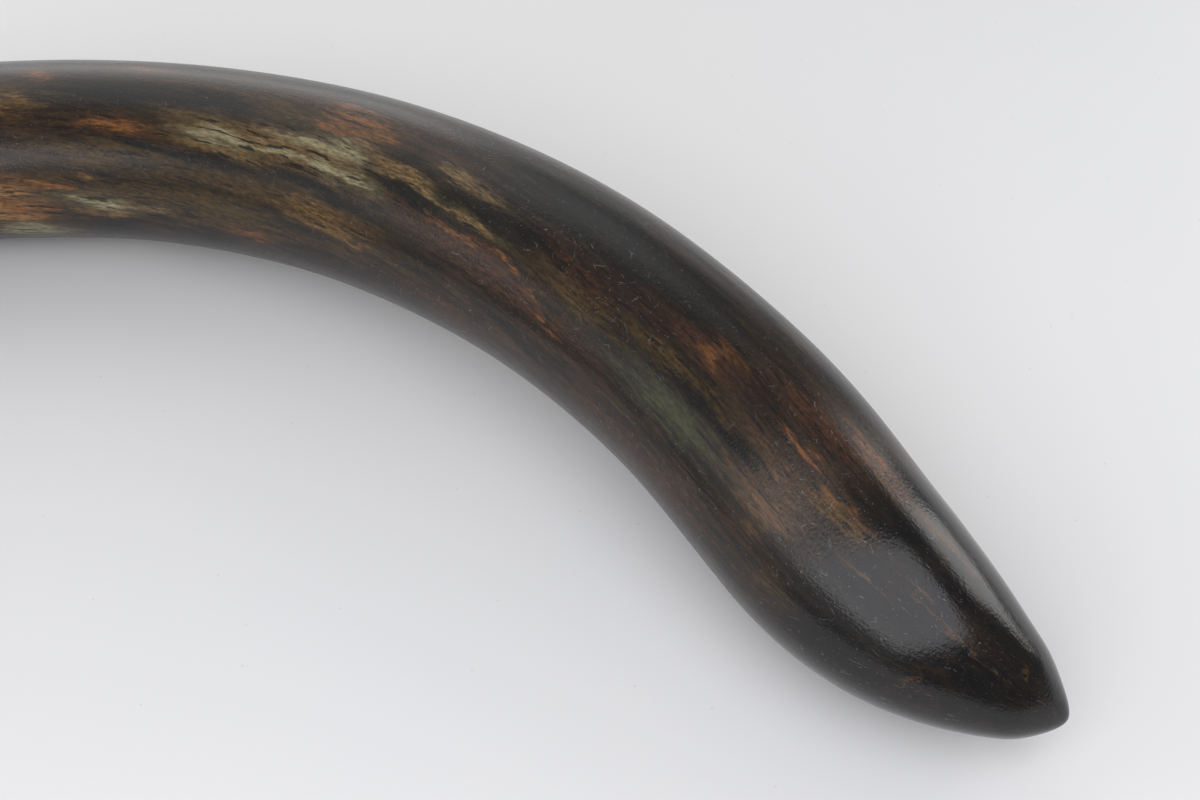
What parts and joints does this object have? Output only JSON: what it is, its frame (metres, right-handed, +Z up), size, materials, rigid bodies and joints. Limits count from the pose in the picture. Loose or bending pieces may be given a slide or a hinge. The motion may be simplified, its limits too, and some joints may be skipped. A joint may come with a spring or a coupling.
{
  "type": "mammoth tusk",
  "caption": "Small polished mammoth tusk lying on its side: a C-shaped, nearly even round body with a blunt worn tip and an open pulp hollow in the flat-cut root.",
  "frame": {"origin": "middle of the bounding box on the surface that the tusk lies on", "axes": "+Z up, +X along the tusk's longest extent with the tip at +X, -Y the way the root's cut end faces"},
  "size_m": [0.638, 0.4238, 0.074],
  "materials": {
    "stained_ivory": "satin"
  },
  "bodies": {
    "root": {"tusk": "stained_ivory"}
  },
  "joints": []
}
